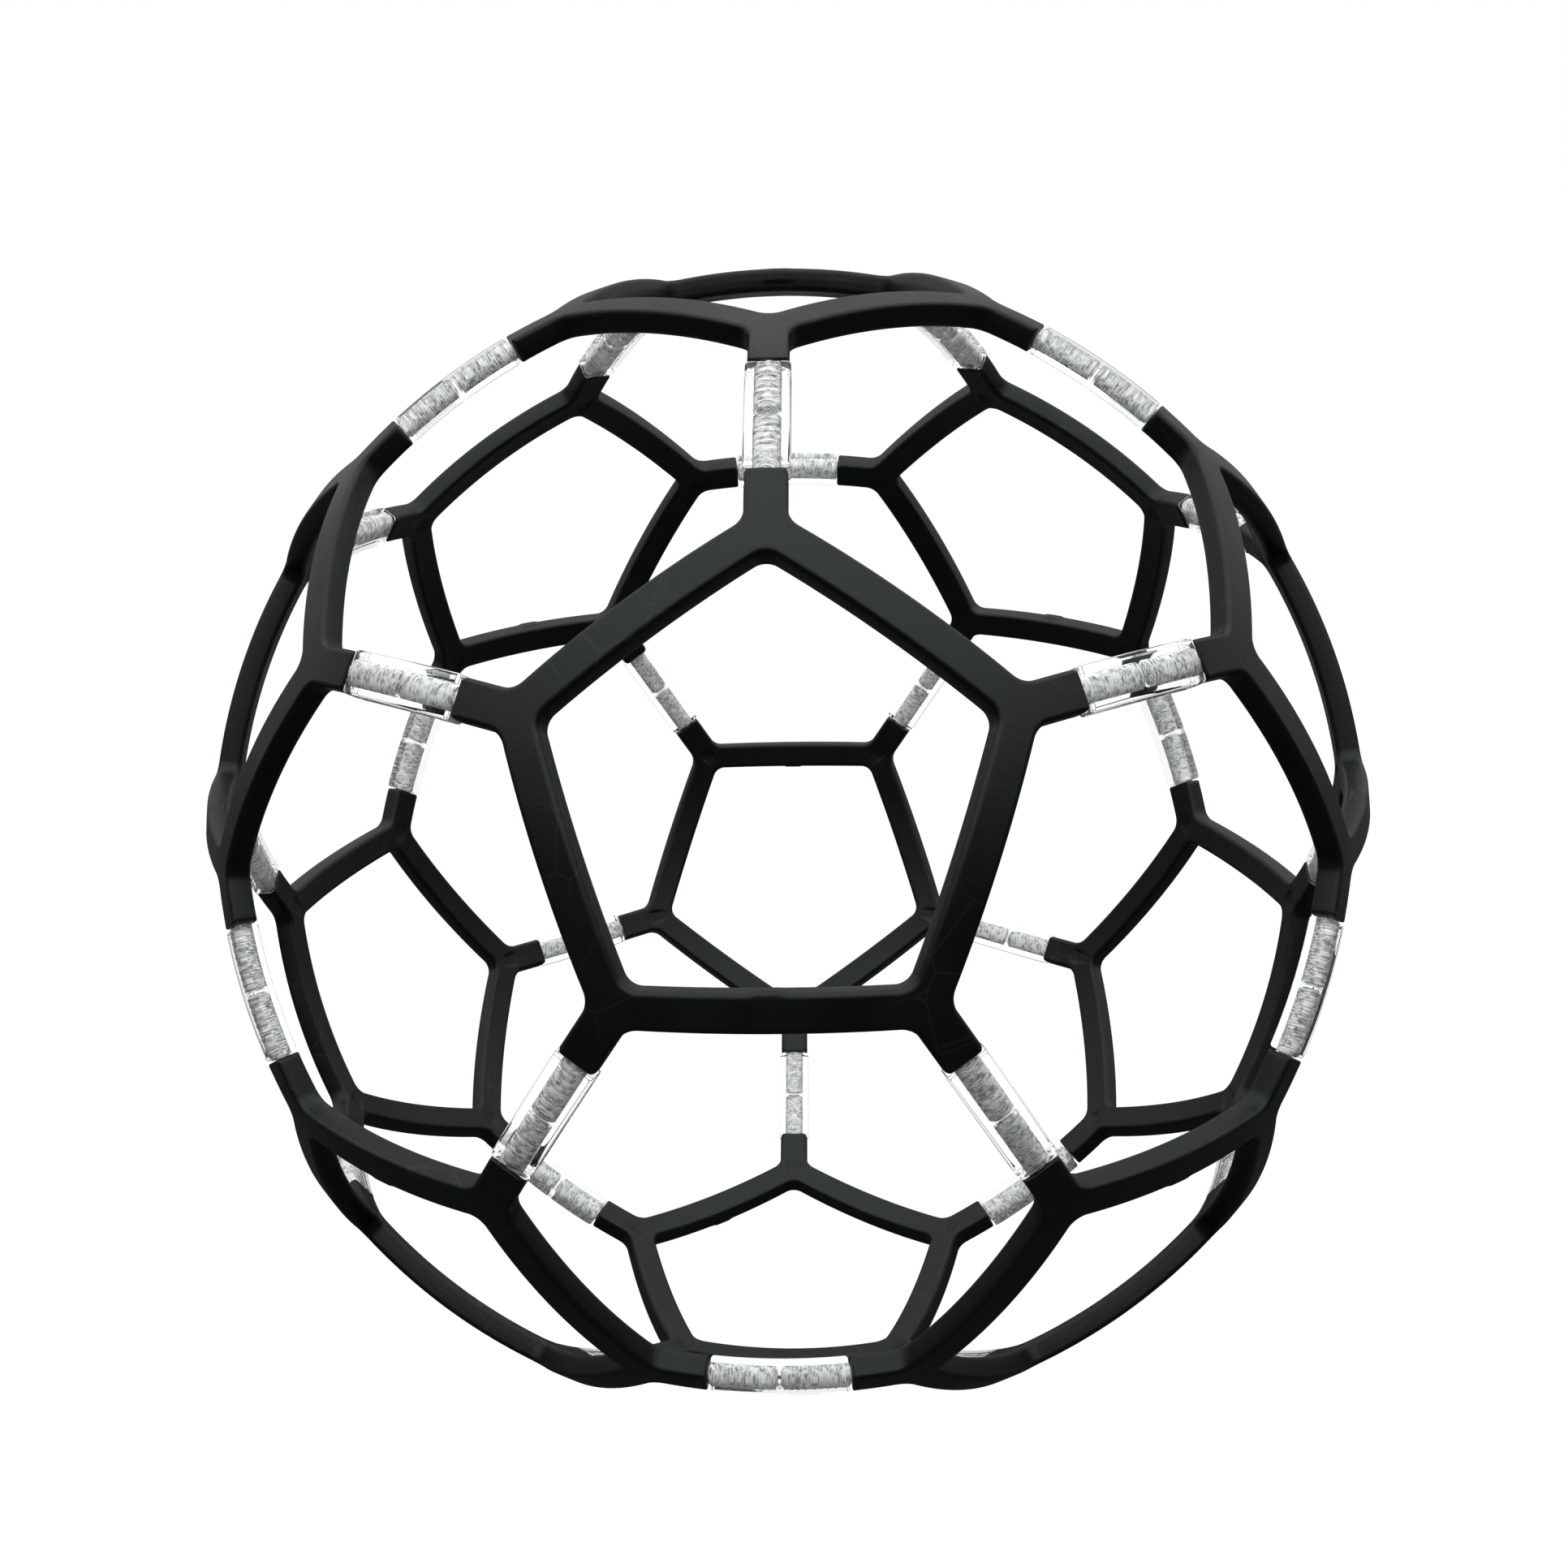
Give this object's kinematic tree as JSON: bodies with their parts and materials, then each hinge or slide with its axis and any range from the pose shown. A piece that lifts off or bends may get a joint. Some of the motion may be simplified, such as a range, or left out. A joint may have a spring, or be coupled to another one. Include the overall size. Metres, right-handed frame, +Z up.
{
  "type": "geodesic ball climber",
  "caption": "Open geodesic ball cage, a small closed dome climber: black pentagon frames with stub arms, joined by short clear links with ribbed pins.",
  "frame": {"origin": "centre of the footprint, on the surface that the ball stands on", "axes": "+Z up through the bottom and top frames; -Y is the front, where one upper frame faces with a corner up; +X to the right"},
  "size_m": [0.2004, 0.1974, 0.193],
  "materials": {
    "frame_black": "satin moulded",
    "link_clear": "clear, moulded",
    "pin_frosted": "frosted, translucent"
  },
  "bodies": {
    "root": {"link_bottom_1": "link_clear", "link_bottom_2": "link_clear", "link_bottom_3": "link_clear", "link_bottom_4": "link_clear", "link_bottom_5": "link_clear", "link_lower_1": "link_clear", "link_lower_2": "link_clear", "link_lower_3": "link_clear", "link_lower_4": "link_clear", "link_lower_5": "link_clear", "link_top_1": "link_clear", "link_top_2": "link_clear", "link_top_3": "link_clear", "link_top_4": "link_clear", "link_top_5": "link_clear", "link_upper_1": "link_clear", "link_upper_2": "link_clear", "link_upper_3": "link_clear", "link_upper_4": "link_clear", "link_upper_5": "link_clear", "link_waist_down_1": "link_clear", "link_waist_down_2": "link_clear", "link_waist_down_3": "link_clear", "link_waist_down_4": "link_clear", "link_waist_down_5": "link_clear", "link_waist_up_1": "link_clear", "link_waist_up_2": "link_clear", "link_waist_up_3": "link_clear", "link_waist_up_4": "link_clear", "link_waist_up_5": "link_clear", "pentagon_frame_bottom": "frame_black", "pentagon_frame_lower_1": "frame_black", "pentagon_frame_lower_2": "frame_black", "pentagon_frame_lower_3": "frame_black", "pentagon_frame_lower_4": "frame_black", "pentagon_frame_lower_5": "frame_black", "pentagon_frame_top": "frame_black", "pentagon_frame_upper_1": "frame_black", "pentagon_frame_upper_2": "frame_black", "pentagon_frame_upper_3": "frame_black", "pentagon_frame_upper_4": "frame_black", "pentagon_frame_upper_5": "frame_black"}
  },
  "joints": []
}
